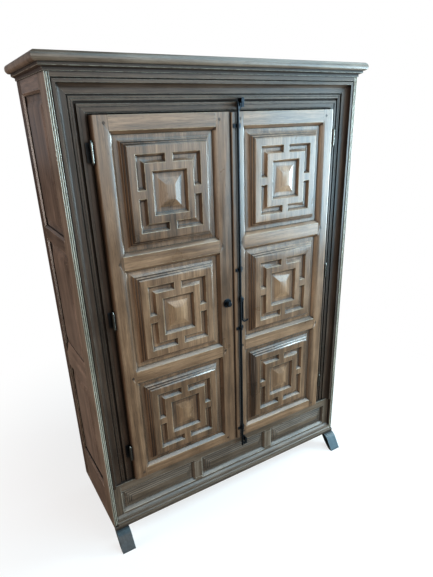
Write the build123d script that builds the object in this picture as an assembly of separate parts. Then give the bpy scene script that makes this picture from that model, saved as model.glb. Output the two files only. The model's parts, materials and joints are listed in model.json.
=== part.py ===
from build123d import *
from math import atan2, degrees
import os

# A two-door panelled cupboard (trastero) in old walnut with wrought-iron hardware.
# Millimetres. X runs to the right, Y to the back and Z up. Every piece is drawn with Y = 0
# on the front face of the doors and is moved to the model frame when it is written, so
# that the origin is at the centre of the footprint, on the floor.

# Driving dimensions ---------------------------------------------------------------------
TOTAL_HEIGHT = 1900.0
BODY_WIDTH = 1260.0
BODY_DEPTH = 430.0          # from the door faces to the back
FOOT_REACH = 74.0           # the front feet stand this far in front of the doors

TOP_THICKNESS = 30.0
TOP_SIDE_OVERHANG = 33.0
TOP_FRONT_OVERHANG = 27.0
BULLNOSE = 14.0
BED_MOULD_HEIGHT = 22.0

PLINTH_BOTTOM = 75.0
POST_BOTTOM = 91.0
PLINTH_TOP = 122.0
BASE_OPENING_BOTTOM = 131.0
BASE_OPENING_TOP = 245.0
BASE_BEVEL = 12.0           # worked round every base opening, as deep as it is wide
LEDGE_TOP = 284.0
BASE_FACE_Y = 16.0          # the base frame stands this far behind the door faces
CARCASS_FRONT_Y = 42.0      # mouldings and base frame are planted on this plane

DOOR_BOTTOM = 290.0
DOOR_HEIGHT = 1438.0
DOOR_THICKNESS = 40.0
DOOR_OUTER_X = 511.5
LEFT_DOOR_INNER_X = -3.0
RIGHT_DOOR_INNER_X = -1.0
OPENING_INNER_X = 59.0
OPENING_OUTER_X = 457.0
BOTTOM_RAIL = 44.0
MIDDLE_RAIL = 49.0
OPENING_HEIGHT = 416.0
STICKING_WIDTH = 12.2       # bevel worked round every door opening
STICKING_DEPTH = 12.5
EDGE_ROUND_WIDTH = 11.0     # rounding down the hinge side of each door
EDGE_ROUND_DEPTH = 6.0

# Door panels: rectangles nested inside the opening, by their distance from its edge
PANEL_FACE_Y = 13.0         # the flat margin
FIELD_FACE_Y = -10.5        # the raised field
MARGIN = 28.0
REED_BAND = 22.0
REEDS = 3
FIELD_BORDER = 25.5
GROOVE_WIDTH = 30.0
KEY_RING = 26.5
RECESS_WIDTH = 25.5
BOSS_BEVEL = 24.0
CARVING_DEPTH = 10.5
CARVING_RUN = 8.5           # the carving's walls close in by this much over its depth
BRIDGE_WIDTH = 28.5
TONGUE = 8.0

POST_WIDTH = 40.0
POST_DEPTH = 43.0
POST_BEAD_BAND = 15.0       # width of the beaded and carved strip on each corner
FRAME_MOULD_WIDTH = 116.0   # from the cabinet's corner to the edge next to the doors
FRAME_LIST_Y = 24.0         # front of the narrow list inside the channel
FRAME_FLAT_Y = 26.0         # front of the flat next to the doors
JAMB_INNER_X = 500.0
JAMB_THICKNESS = 20.0
LINTEL_BOTTOM = 1720.0

BACK_POST_DEPTH = 64.0
SIDE_THICKNESS = 24.0
SIDE_OPENINGS = ((262.0, 720.0), (836.0, 1278.0), (1341.0, 1796.0))
SIDE_BEVEL = 8.0            # worked round every side opening
SIDE_BEVEL_DEPTH = 6.0
SILL_RAIL = 1               # this side rail, from the bottom, has a wide sloping top
SILL_HEIGHT = 50.0
SILL_DEPTH = 10.0
BACK_FOOT_X = (560.0, 604.0)
BACK_FOOT_Y = (372.0, 424.0)
SHELF_HEIGHTS = (650.0, 1010.0, 1370.0)
SHELF_THICKNESS = 20.0
BOARD_THICKNESS = 22.0
BACK_BOARD_COUNT = 7

HINGE_HEIGHTS = (432.0, 1031.0, 1617.0)
HINGE_X = 518.5
HINGE_Y = 3.0
BARREL_RADIUS = 5.0
BARREL_HEIGHT = 60.0
PIN_RADIUS = 3.0
RUNNING_CLEARANCE = 0.05
LEAF_HEIGHT = 60.0
LEAF_THICKNESS = 1.7
LEAF_FRONT_Y = 7.0
LEAF_BACK_Y = 36.0

ASTRAGAL_HEIGHT = 7.0
ROD_X = 28.4
ROD_Y = -11.5
ROD_RADIUS = 5.0
ROD_BOTTOM = 246.0
ROD_TOP = 1744.0
ROD_TIP_TOP = 1762.0
GUIDE_HEIGHTS = (345.0, 866.0, 1130.0, 1680.0)
FINGER_END_X = 41.0
KEEPER_X = 42.5
LEVER_PIVOT_Z = 1000.0
KNOB_X = -31.0
KNOB_Z = 993.0

# Derived sizes --------------------------------------------------------------------------
HALF = BODY_WIDTH / 2
DOOR_FACE_Y = (FOOT_REACH - BODY_DEPTH) / 2
TOP_UNDERSIDE = TOTAL_HEIGHT - TOP_THICKNESS
FRAME_TOP = TOP_UNDERSIDE - BED_MOULD_HEIGHT
DOOR_TOP = DOOR_BOTTOM + DOOR_HEIGHT
POST_BACK_Y = CARCASS_FRONT_Y + POST_DEPTH
BACK_POST_Y = BODY_DEPTH - BACK_POST_DEPTH
POST_INNER_X = HALF - POST_WIDTH
SIDE_INNER_X = HALF - SIDE_THICKNESS
SHELF_FRONT_Y = CARCASS_FRONT_Y + JAMB_THICKNESS + 2.0
BACK_RAIL_Y = BODY_DEPTH - 42.0
BACK_BOARD_Y = BODY_DEPTH - 20.0


# Small builders -------------------------------------------------------------------------
def block(x0, x1, y0, y1, z0, z1):
    """A box between two corners."""
    size = Box(abs(x1 - x0), abs(y1 - y0), abs(z1 - z0))
    return Pos((x0 + x1) / 2, (y0 + y1) / 2, (z0 + z1) / 2) * size


def mirrored(shape):
    """The same piece on the other side of the cabinet."""
    return shape.mirror(Plane.YZ)


def facing_back(x, y, z):
    """A sketch plane at a point, facing the back of the cabinet."""
    return Plane(origin=(x, y, z), x_dir=(1, 0, 0), z_dir=(0, 1, 0))


def rod_between(start, end, radius):
    """A round bar from one point to another."""
    axis = Vector(*end) - Vector(*start)
    return extrude(Plane(origin=start, z_dir=axis) * Circle(radius), amount=axis.length)


def prism(points, direction, length):
    """A straight-sided outline, extruded."""
    return extrude(make_face(Polyline(*points, close=True)), amount=length, dir=direction)


def tapered_pocket(plane, outline, depth, run):
    """An outline cut inwards from a face, its walls closing in by run over depth."""
    return extrude(plane * outline, amount=depth, taper=degrees(atan2(run, depth)))


def write(name, *shapes):
    """Write one named piece, or a group of like pieces, in the model frame."""
    solids = [solid for shape in shapes for solid in shape.solids()]
    shape = solids[0] if len(solids) == 1 else Compound(children=solids)
    export_step(Pos(0, DOOR_FACE_Y, 0) * shape, f"parts/{name}.step")


# Top and cornice ------------------------------------------------------------------------
def top_board():
    """The top, rounded over along the front and both ends."""
    reach = HALF + TOP_SIDE_OVERHANG
    board = block(-reach, reach, -TOP_FRONT_OVERHANG, BODY_DEPTH, TOP_UNDERSIDE, TOTAL_HEIGHT)
    edges = board.edges()
    front = edges.filter_by(Axis.X).group_by(Axis.Y)[0]
    ends = edges.filter_by(Axis.Y)
    return fillet(front + ends, BULLNOSE)


def bed_mould_outline(to_point):
    """Cornice section: a square fillet, a hollow and a narrow band, as steps out of the body."""
    fillet_reach = 16.0
    band_reach = 4.0
    fillet_bottom = TOP_UNDERSIDE - 8.0
    band_top = FRAME_TOP + 9.0
    hollow_middle = to_point(7.5, (fillet_bottom + band_top) / 2 - 1.0)
    edges = [
        Line(to_point(0, TOP_UNDERSIDE), to_point(fillet_reach, TOP_UNDERSIDE)),
        Line(to_point(fillet_reach, TOP_UNDERSIDE), to_point(fillet_reach, fillet_bottom)),
        ThreePointArc(to_point(fillet_reach, fillet_bottom), hollow_middle,
                      to_point(band_reach, band_top)),
        Line(to_point(band_reach, band_top), to_point(band_reach, FRAME_TOP)),
        Line(to_point(band_reach, FRAME_TOP), to_point(0, FRAME_TOP)),
        Line(to_point(0, FRAME_TOP), to_point(0, TOP_UNDERSIDE)),
    ]
    return make_face(Wire(edges))


def cornice_front():
    """Front bed moulding with its backing, mitred at both corners."""
    reach = HALF + 20.0
    face = bed_mould_outline(lambda out, z: (-reach, -out, z))
    moulding = extrude(face, amount=2 * reach, dir=(1, 0, 0))
    mitres = prism([(-HALF, 0, FRAME_TOP), (-HALF - 20, -20, FRAME_TOP),
                    (HALF + 20, -20, FRAME_TOP), (HALF, 0, FRAME_TOP)],
                   (0, 0, 1), BED_MOULD_HEIGHT)
    backing = block(-HALF, HALF, 0, CARCASS_FRONT_Y, FRAME_TOP, TOP_UNDERSIDE)
    return (moulding & mitres) + backing


def cornice_side():
    """Right-hand bed moulding, mitred at the front."""
    face = bed_mould_outline(lambda out, z: (HALF + out, -20, z))
    moulding = extrude(face, amount=BODY_DEPTH + 20, dir=(0, 1, 0))
    mitre = prism([(HALF, 0, FRAME_TOP), (HALF + 20, -20, FRAME_TOP),
                   (HALF + 20, BODY_DEPTH, FRAME_TOP), (HALF, BODY_DEPTH, FRAME_TOP)],
                  (0, 0, 1), BED_MOULD_HEIGHT)
    return moulding & mitre


# Front frame ----------------------------------------------------------------------------
def frame_mould_outline(to_point, outer_band):
    """Section of the stepped frame round the doors, by distance from the cabinet's corner.

    From the outside: a groove, a flat fillet, a hollow, a flat band, two beads, a channel, a
    narrow list, a wide flat and a thin bead next to the doors. The head also carries the
    plain band that the corner posts carve as a rope.
    """
    groove, fillet_inner, hollow_inner, band_inner = 19.0, 29.0, 44.0, 59.5
    bead_y, quirk_y = 25.5, 28.5
    edges = []
    corners = [(POST_BEAD_BAND, CARCASS_FRONT_Y)]
    if outer_band:
        corners = [(0, CARCASS_FRONT_Y), (0, -1), (POST_BEAD_BAND, -1)]
    corners += [(POST_BEAD_BAND, 5), (groove, 5), (groove, 0.5), (fillet_inner, 0.5),
                (fillet_inner, 3)]
    after_hollow = [(hollow_inner, 22), (band_inner, 22), (band_inner, quirk_y),
                    (64.5, quirk_y), (64.5, bead_y), (70.5, bead_y), (70.5, 27.5), (72, 27.5),
                    (72, bead_y), (78, bead_y), (78, 34), (87, 34), (87, FRAME_LIST_Y),
                    (95, FRAME_LIST_Y), (95, FRAME_FLAT_Y), (112, FRAME_FLAT_Y), (112, quirk_y),
                    (113.5, quirk_y), (113.5, FRAME_FLAT_Y), (FRAME_MOULD_WIDTH, FRAME_FLAT_Y),
                    (FRAME_MOULD_WIDTH, CARCASS_FRONT_Y)]
    for run in (corners, after_hollow):
        edges += [Line(to_point(*a), to_point(*b)) for a, b in zip(run, run[1:])]
    edges.append(ThreePointArc(to_point(*corners[-1]), to_point(34.0, 15.3),
                               to_point(*after_hollow[0])))
    edges.append(Line(to_point(*after_hollow[-1]), to_point(*corners[0])))
    return make_face(Wire(edges))


def head_moulding():
    """The frame moulding over the doors, mitred below its outer band."""
    reach = HALF - POST_BEAD_BAND
    face = frame_mould_outline(lambda d, y: (-reach, y, FRAME_TOP - d), True)
    moulding = extrude(face, amount=2 * reach, dir=(1, 0, 0))
    inner = HALF - FRAME_MOULD_WIDTH
    outline = [(-reach, -5, FRAME_TOP), (reach, -5, FRAME_TOP),
               (reach, -5, FRAME_TOP - POST_BEAD_BAND), (inner, -5, FRAME_TOP - FRAME_MOULD_WIDTH),
               (-inner, -5, FRAME_TOP - FRAME_MOULD_WIDTH), (-reach, -5, FRAME_TOP - POST_BEAD_BAND)]
    return moulding & prism(outline, (0, 1, 0), 60)


def jamb_moulding():
    """The right-hand frame moulding, from the ledge to the mitre."""
    face = frame_mould_outline(lambda d, y: (HALF - d, y, LEDGE_TOP), False)
    moulding = extrude(face, amount=FRAME_TOP - LEDGE_TOP, dir=(0, 0, 1))
    outer = HALF - POST_BEAD_BAND
    inner = HALF - FRAME_MOULD_WIDTH
    outline = [(outer, -5, LEDGE_TOP), (outer, -5, FRAME_TOP - POST_BEAD_BAND),
               (inner, -5, FRAME_TOP - FRAME_MOULD_WIDTH), (inner, -5, LEDGE_TOP)]
    return moulding & prism(outline, (0, 1, 0), 60)


def front_post():
    """The right-hand corner post, with a channel between two beads for the carved rope."""
    strip = block(HALF - POST_BEAD_BAND, HALF, -1, CARCASS_FRONT_Y, POST_BOTTOM, FRAME_TOP)
    strip -= block(HALF - 12, HALF - 3, -2, 3, POST_BOTTOM, FRAME_TOP)
    strip = fillet(strip.edges().filter_by(Axis.Z).group_by(Axis.Y)[0], 1.3)
    body = block(POST_INNER_X, HALF, CARCASS_FRONT_Y, POST_BACK_Y, POST_BOTTOM, TOP_UNDERSIDE)
    for low, high in SIDE_OPENINGS:
        body -= side_opening(low, high)
    return strip + body


def rope_carving():
    """The rope in the right-hand post, as the half-round it is carved from."""
    centre_x = HALF - 7.5
    half_round = make_face(Wire([
        ThreePointArc((centre_x - 4.4, 3, POST_BOTTOM), (centre_x, -1.4, POST_BOTTOM),
                      (centre_x + 4.4, 3, POST_BOTTOM)),
        Line((centre_x + 4.4, 3, POST_BOTTOM), (centre_x - 4.4, 3, POST_BOTTOM))]))
    return extrude(half_round, amount=FRAME_TOP - POST_BOTTOM, dir=(0, 0, 1))


def door_jamb():
    """The right-hand jamb, behind the frame moulding, that the door closes against."""
    return block(JAMB_INNER_X, POST_INNER_X, CARCASS_FRONT_Y, CARCASS_FRONT_Y + JAMB_THICKNESS,
                 LEDGE_TOP, LINTEL_BOTTOM)


def lintel():
    """The board over the doors, behind the head moulding."""
    return block(-POST_INNER_X, POST_INNER_X, CARCASS_FRONT_Y, CARCASS_FRONT_Y + JAMB_THICKNESS,
                 LINTEL_BOTTOM, TOP_UNDERSIDE)


# Framed openings ------------------------------------------------------------------------
def side_opening(low, high):
    """The space to cut for one opening of the right-hand side, bevelled all round."""
    middle_y = (POST_BACK_Y + BACK_POST_Y) / 2
    plane = Plane(origin=(HALF, middle_y, (low + high) / 2), x_dir=(0, 1, 0), z_dir=(-1, 0, 0))
    mouth = Rectangle(BACK_POST_Y - POST_BACK_Y + 2 * SIDE_BEVEL, high - low + 2 * SIDE_BEVEL)
    return tapered_pocket(plane, mouth, SIDE_BEVEL_DEPTH, SIDE_BEVEL)


def bevelled_opening(x0, x1, z0, z1, face_y, back_y, bevel, depth):
    """The space to cut for an opening with a bevel round its front edge."""
    plane = facing_back((x0 + x1) / 2, face_y, (z0 + z1) / 2)
    mouth = tapered_pocket(plane, Rectangle(x1 - x0, z1 - z0), depth, bevel)
    through = block(x0 + bevel, x1 - bevel, face_y + 1, back_y, z0 + bevel, z1 - bevel)
    return mouth + through


def reeded_rise(x, z, half_width, half_height, face_y, top_y, band, reeds):
    """Reeds, rising in slanted steps with blunted lips from a panel's margin to its field."""
    pitch = band / reeds
    height = (face_y - top_y) / reeds
    run = 0.76 * pitch
    lip = 1.4
    rise = None
    for step in range(reeds):
        inset = step * pitch
        plane = Plane(origin=(x, face_y - step * height, z), x_dir=(1, 0, 0), z_dir=(0, -1, 0))
        outline = Rectangle(2 * (half_width - inset), 2 * (half_height - inset))
        layer = extrude(plane * outline, amount=height, taper=degrees(atan2(run, height)))
        layer = chamfer(layer.edges().group_by(Axis.Y)[0], lip)
        rise = layer if rise is None else rise + layer
    return rise


# Base -----------------------------------------------------------------------------------
BASE_PANEL_SPANS = ((-578.0, -221.0), (-184.0, 184.0), (221.0, 578.0))


def base_frame():
    """Base rails and uprights, as one blank with its three openings cut."""
    reach = HALF - POST_BEAD_BAND
    blank = block(-reach, reach, BASE_FACE_Y, CARCASS_FRONT_Y, POST_BOTTOM, LEDGE_TOP)
    for x0, x1 in BASE_PANEL_SPANS:
        blank -= bevelled_opening(x0, x1, BASE_OPENING_BOTTOM, BASE_OPENING_TOP, BASE_FACE_Y,
                                  CARCASS_FRONT_Y + 1, BASE_BEVEL, BASE_BEVEL)
    return blank


def base_rail(blank, z0, z1):
    """One full-width rail out of the base frame's blank."""
    reach = BASE_PANEL_SPANS[-1][1]
    return blank & block(-reach, reach, BASE_FACE_Y - 1, CARCASS_FRONT_Y + 1, z0, z1)


def base_panel(x0, x1):
    """A fielded base panel with reeds all round it."""
    x = (x0 + x1) / 2
    z = (BASE_OPENING_BOTTOM + BASE_OPENING_TOP) / 2
    half_width = (x1 - x0) / 2 - BASE_BEVEL
    half_height = (BASE_OPENING_TOP - BASE_OPENING_BOTTOM) / 2 - BASE_BEVEL
    face_y = BASE_FACE_Y + BASE_BEVEL
    plate = block(x - half_width, x + half_width, face_y, CARCASS_FRONT_Y,
                  z - half_height, z + half_height)
    margin, band, reeds = 4.0, 32.0, 4
    rise = reeded_rise(x, z, half_width - margin, half_height - margin, face_y,
                       BASE_FACE_Y - 0.5, band, reeds)
    return plate + rise


def plinth_moulding():
    """The moulding between the posts under the base panels: two hollows, two arrises."""
    reach = HALF - POST_BEAD_BAND
    top, back = PLINTH_TOP, BASE_FACE_Y
    edges = [
        ThreePointArc((-reach, back, top), (-reach, 6.5, top - 8), (-reach, 0, top - 10)),
        Line((-reach, 0, top - 10), (-reach, 0, top - 14)),
        ThreePointArc((-reach, 0, top - 14), (-reach, -1.5, top - 20), (-reach, -8, top - 23)),
        Line((-reach, -8, top - 23), (-reach, -8, POST_BOTTOM)),
        Line((-reach, -8, POST_BOTTOM), (-reach, back, POST_BOTTOM)),
        Line((-reach, back, POST_BOTTOM), (-reach, back, top)),
    ]
    return extrude(make_face(Wire(edges)), amount=2 * reach, dir=(1, 0, 0))


def plinth_boards():
    """The board under posts and plinth, and the two that carry the sides on to the back."""
    front = block(-HALF, HALF, -9, POST_BACK_Y, PLINTH_BOTTOM, POST_BOTTOM)
    front = fillet(front.edges().filter_by(Axis.X).group_by(Axis.Y)[0], 3)
    side = block(BACK_FOOT_X[0], HALF, POST_BACK_Y, BODY_DEPTH, PLINTH_BOTTOM, POST_BOTTOM)
    return front, side, mirrored(side)


def front_foot():
    """The right-hand front foot: a bracket that curves out to a knee, then slants down."""
    width = 58.0
    inner_x = HALF - width
    knee = (inner_x, -38, 55)
    toe = (inner_x, -FOOT_REACH, 0)
    heel = (inner_x, -54, 0)
    heel_top = (inner_x, 14, PLINTH_BOTTOM)
    instep_top = (inner_x, -6, PLINTH_BOTTOM)
    edges = [
        ThreePointArc(instep_top, (inner_x, -24.5, 68), knee),
        Line(knee, toe),
        Line(toe, heel),
        ThreePointArc(heel, (inner_x, -23, 26), heel_top),
        Line(heel_top, instep_top),
    ]
    return extrude(make_face(Wire(edges)), amount=width, dir=(1, 0, 0))


def back_foot():
    """The right-hand back foot, a plain block set in under the side."""
    return block(*BACK_FOOT_X, *BACK_FOOT_Y, 0, PLINTH_BOTTOM)


# Sides and inside -----------------------------------------------------------------------
def back_post():
    """The right-hand back post, bevelled along the side's openings."""
    post = block(POST_INNER_X, HALF, BACK_POST_Y, BODY_DEPTH, POST_BOTTOM, TOP_UNDERSIDE)
    for low, high in SIDE_OPENINGS:
        post -= side_opening(low, high)
    return post


def side_rails():
    """Four rails of the right-hand side, bevelled along the openings, one with a wide sill."""
    bounds = [POST_BOTTOM] + [z for opening in SIDE_OPENINGS for z in opening] + [TOP_UNDERSIDE]
    rails = []
    for low, high in zip(bounds[::2], bounds[1::2]):
        rail = block(SIDE_INNER_X, HALF, POST_BACK_Y, BACK_POST_Y, low, high)
        for opening in SIDE_OPENINGS:
            rail -= side_opening(*opening)
        if len(rails) == SILL_RAIL:
            rail -= prism([(HALF, POST_BACK_Y, high - SILL_HEIGHT), (HALF, POST_BACK_Y, high),
                           (HALF - SILL_DEPTH, POST_BACK_Y, high)],
                          (0, 1, 0), BACK_POST_Y - POST_BACK_Y)
        rails.append(rail)
    return rails


def side_panels():
    """Three fielded panels of the right-hand side."""
    panels = []
    y = (POST_BACK_Y + BACK_POST_Y) / 2
    half_depth = (BACK_POST_Y - POST_BACK_Y) / 2
    margin, bevel, rise = 18.0, 20.0, 9.0
    for low, high in SIDE_OPENINGS:
        plate = block(HALF - 21, HALF - 12, POST_BACK_Y, BACK_POST_Y, low, high)
        plane = Plane(origin=(HALF - 12, y, (low + high) / 2), x_dir=(0, 1, 0), z_dir=(1, 0, 0))
        field = Rectangle(2 * (half_depth - margin), high - low - 2 * margin)
        raised = extrude(plane * field, amount=rise, taper=degrees(atan2(bevel, rise)))
        panels.append(plate + raised)
    return panels


def notched_board(z0, z1, front_y, back_y):
    """A board across the inside, cut round the four posts."""
    middle = block(-SIDE_INNER_X, SIDE_INNER_X, POST_BACK_Y, BACK_POST_Y, z0, z1)
    ends = block(-POST_INNER_X, POST_INNER_X, front_y, back_y, z0, z1)
    return middle + ends


def shelf_cleats():
    """Battens between the posts, under the bottom board and each shelf."""
    cleats = []
    for top in (LEDGE_TOP - BOARD_THICKNESS,) + SHELF_HEIGHTS:
        cleat = block(SIDE_INNER_X - 22, SIDE_INNER_X, POST_BACK_Y, BACK_POST_Y, top - 25, top)
        cleats += [cleat, mirrored(cleat)]
    return cleats


def back_boards():
    """Upright boards nailed across the back rails, with open joints between them."""
    gap = 1.5
    width = (2 * POST_INNER_X - (BACK_BOARD_COUNT - 1) * gap) / BACK_BOARD_COUNT
    boards = []
    for index in range(BACK_BOARD_COUNT):
        left = -POST_INNER_X + index * (width + gap)
        boards.append(block(left, left + width, BACK_BOARD_Y, BACK_BOARD_Y + 14,
                            POST_BOTTOM, TOP_UNDERSIDE))
    return boards


def back_rails():
    """Three rails between the back posts."""
    spans = ((POST_BOTTOM, 165.0), (935.0, 1005.0), (1796.0, TOP_UNDERSIDE))
    return [block(-POST_INNER_X, POST_INNER_X, BACK_RAIL_Y, BACK_BOARD_Y, low, high)
            for low, high in spans]


# Doors ----------------------------------------------------------------------------------
OPENING_BOTTOMS = [DOOR_BOTTOM + BOTTOM_RAIL + index * (OPENING_HEIGHT + MIDDLE_RAIL)
                   for index in range(3)]


def edge_rounding():
    """The waste outside the rounding down the hinge side of a right-hand door."""
    start_x = DOOR_OUTER_X - EDGE_ROUND_WIDTH
    z = DOOR_BOTTOM - 1
    edges = [
        ThreePointArc((start_x, 0, z), (DOOR_OUTER_X - 3.6, 1.7, z),
                      (DOOR_OUTER_X, EDGE_ROUND_DEPTH, z)),
        Line((DOOR_OUTER_X, EDGE_ROUND_DEPTH, z), (DOOR_OUTER_X + 1, EDGE_ROUND_DEPTH, z)),
        Line((DOOR_OUTER_X + 1, EDGE_ROUND_DEPTH, z), (DOOR_OUTER_X + 1, -1, z)),
        Line((DOOR_OUTER_X + 1, -1, z), (start_x, -1, z)),
        Line((start_x, -1, z), (start_x, 0, z)),
    ]
    return extrude(make_face(Wire(edges)), amount=DOOR_HEIGHT + 2, dir=(0, 0, 1))


def door_frame(inner_x):
    """A right-hand door's stiles and rails, as one blank with openings and grooves cut."""
    blank = block(inner_x, DOOR_OUTER_X, 0, DOOR_THICKNESS, DOOR_BOTTOM, DOOR_TOP)
    blank -= edge_rounding()
    for z in HINGE_HEIGHTS:
        blank -= block(DOOR_OUTER_X - LEAF_THICKNESS, DOOR_OUTER_X + 1, LEAF_FRONT_Y,
                       LEAF_BACK_Y, z - LEAF_HEIGHT / 2, z + LEAF_HEIGHT / 2)
    for bottom in OPENING_BOTTOMS:
        top = bottom + OPENING_HEIGHT
        blank -= bevelled_opening(OPENING_INNER_X, OPENING_OUTER_X, bottom, top, 0,
                                  DOOR_THICKNESS + 1, STICKING_WIDTH, STICKING_DEPTH)
        inset = STICKING_WIDTH - TONGUE - 1
        blank -= block(OPENING_INNER_X + inset, OPENING_OUTER_X - inset, PANEL_FACE_Y + 2,
                       PANEL_FACE_Y + 10, bottom + inset, top - inset)
    return blank


def door_rails(blank):
    """Four rails, tongued between the stiles at the edges of the openings."""
    rails = []
    edges = [DOOR_BOTTOM - STICKING_WIDTH]
    for bottom in OPENING_BOTTOMS:
        edges += [bottom, bottom + OPENING_HEIGHT]
    edges.append(DOOR_TOP + STICKING_WIDTH)
    for low, high in zip(edges[::2], edges[1::2]):
        rails.append(blank & block(OPENING_INNER_X, OPENING_OUTER_X, -1, DOOR_THICKNESS + 1,
                                   low - STICKING_WIDTH, high + STICKING_WIDTH))
    return rails


def door_pegs():
    """Pegs through the mortises of a right-hand door, one at each end of each rail."""
    pegs = []
    rail_middles = [DOOR_BOTTOM + BOTTOM_RAIL / 2]
    for bottom in OPENING_BOTTOMS:
        rail_middles.append(bottom + OPENING_HEIGHT + MIDDLE_RAIL / 2)
    for z in rail_middles:
        for x in (OPENING_INNER_X - 14, OPENING_OUTER_X + 14):
            pegs.append(rod_between((x, -0.6, z), (x, 9, z), 4.5))
    return pegs


def key_corner(half_width, half_height, sign_x, sign_z):
    """The L-shaped outline of one corner groove, about the panel's centre."""
    half_bridge = BRIDGE_WIDTH / 2
    points = [(half_width, half_height), (half_bridge, half_height),
              (half_bridge, half_height - GROOVE_WIDTH),
              (half_width - GROOVE_WIDTH, half_height - GROOVE_WIDTH),
              (half_width - GROOVE_WIDTH, half_bridge), (half_width, half_bridge)]
    outline = [(sign_x * x, sign_z * z) for x, z in points]
    return make_face(Polyline(*outline, close=True))


def carved_panel(bottom):
    """A right-hand door panel: reeded rise, field with four key grooves, sunk boss."""
    x = (OPENING_INNER_X + OPENING_OUTER_X) / 2
    z = bottom + OPENING_HEIGHT / 2
    half_width = (OPENING_OUTER_X - OPENING_INNER_X) / 2
    half_height = OPENING_HEIGHT / 2
    clear = STICKING_WIDTH + 0.5
    plate = block(x - half_width + clear, x + half_width - clear, PANEL_FACE_Y,
                  PANEL_FACE_Y + 14, z - half_height + clear, z + half_height - clear)
    inset = STICKING_WIDTH - TONGUE
    tongue = block(x - half_width + inset, x + half_width - inset, PANEL_FACE_Y + 2.5,
                   PANEL_FACE_Y + 9.5, z - half_height + inset, z + half_height - inset)
    rise = reeded_rise(x, z, half_width - MARGIN, half_height - MARGIN, PANEL_FACE_Y,
                       FIELD_FACE_Y, REED_BAND, REEDS)
    panel = plate + tongue + rise
    plane = facing_back(x, FIELD_FACE_Y, z)
    inset = MARGIN + REED_BAND + FIELD_BORDER
    for sign_x in (-1, 1):
        for sign_z in (-1, 1):
            outline = key_corner(half_width - inset, half_height - inset, sign_x, sign_z)
            panel -= tapered_pocket(plane, outline, CARVING_DEPTH, CARVING_RUN)
    inset += GROOVE_WIDTH + KEY_RING
    recess = Rectangle(2 * (half_width - inset), 2 * (half_height - inset))
    panel -= tapered_pocket(plane, recess, CARVING_DEPTH, CARVING_RUN)
    inset += RECESS_WIDTH
    floor_plane = Plane(origin=(x, FIELD_FACE_Y + CARVING_DEPTH, z), x_dir=(1, 0, 0),
                        z_dir=(0, -1, 0))
    boss = Rectangle(2 * (half_width - inset), 2 * (half_height - inset))
    rise_angle = degrees(atan2(BOSS_BEVEL, CARVING_DEPTH))
    return panel + extrude(floor_plane * boss, amount=CARVING_DEPTH, taper=rise_angle)


def astragal():
    """The rounded strip on the right-hand door's meeting stile."""
    strip = block(1, 22, -ASTRAGAL_HEIGHT, 0, DOOR_BOTTOM + 3, DOOR_TOP - 2)
    return fillet(strip.edges().filter_by(Axis.Z).group_by(Axis.Y)[0], 5)


# Hinges ---------------------------------------------------------------------------------
def hinge_frame_leaf(z):
    """Lower knuckle with its pointed foot, and the leaf bent back to the frame's flat."""
    half = BARREL_HEIGHT / 2
    knuckle = rod_between((HINGE_X, HINGE_Y, z - half), (HINGE_X, HINGE_Y, z - 0.2), BARREL_RADIUS)
    tip = Pos(HINGE_X, HINGE_Y, z - half - 4) * Cone(1.2, BARREL_RADIUS, 8)
    web = block(HINGE_X - 1.5, HINGE_X + 1.5, HINGE_Y, FRAME_FLAT_Y - 2, z - half, z - 0.2)
    plate = block(HINGE_X - 1.5, HINGE_X + 12, FRAME_FLAT_Y - 2, FRAME_FLAT_Y,
                  z - LEAF_HEIGHT / 2, z + LEAF_HEIGHT / 2)
    pin_hole = rod_between((HINGE_X, HINGE_Y, z - half + 2), (HINGE_X, HINGE_Y, z), PIN_RADIUS)
    return knuckle + tip + web + plate - pin_hole


def hinge_pin(z):
    """The pin fixed in the lower knuckle, on which the upper one turns."""
    half = BARREL_HEIGHT / 2
    return rod_between((HINGE_X, HINGE_Y, z - half + 2), (HINGE_X, HINGE_Y, z + half - 4),
                       PIN_RADIUS)


def hinge_door_leaf(z):
    """Upper knuckle with its pointed head, and the leaf let into the door's edge."""
    half = BARREL_HEIGHT / 2
    knuckle = rod_between((HINGE_X, HINGE_Y, z + 0.2), (HINGE_X, HINGE_Y, z + half), BARREL_RADIUS)
    tip = Pos(HINGE_X, HINGE_Y, z + half + 4) * Cone(BARREL_RADIUS, 1.2, 8)
    plate = block(DOOR_OUTER_X - LEAF_THICKNESS, DOOR_OUTER_X, LEAF_FRONT_Y, LEAF_BACK_Y,
                  z - LEAF_HEIGHT / 2, z + LEAF_HEIGHT / 2)
    tab = prism([(DOOR_OUTER_X, LEAF_FRONT_Y, z + 0.2), (DOOR_OUTER_X, LEAF_FRONT_Y + 3, z + 0.2),
                 (HINGE_X + 0.8, HINGE_Y + 1.4, z + 0.2), (HINGE_X - 0.8, HINGE_Y - 1.4, z + 0.2)],
                (0, 0, 1), half - 0.2)
    bore = rod_between((HINGE_X, HINGE_Y, z), (HINGE_X, HINGE_Y, z + half - 3),
                       PIN_RADIUS + RUNNING_CLEARANCE)
    return knuckle + tip + plate + tab - bore


# Bolt -----------------------------------------------------------------------------------
def bolt_finger(z, tip_z):
    """A flat finger from the rod towards its keeper, its end turned up or down."""
    half = 4.0
    arm = block(ROD_X, FINGER_END_X, ROD_Y - 2.5, ROD_Y + 2.5, z - half, z + half)
    bend = block(FINGER_END_X - 4, FINGER_END_X, ROD_Y - 2.5, ROD_Y + 2.5,
                 min(z, tip_z), max(z, tip_z))
    return arm + bend


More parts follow.
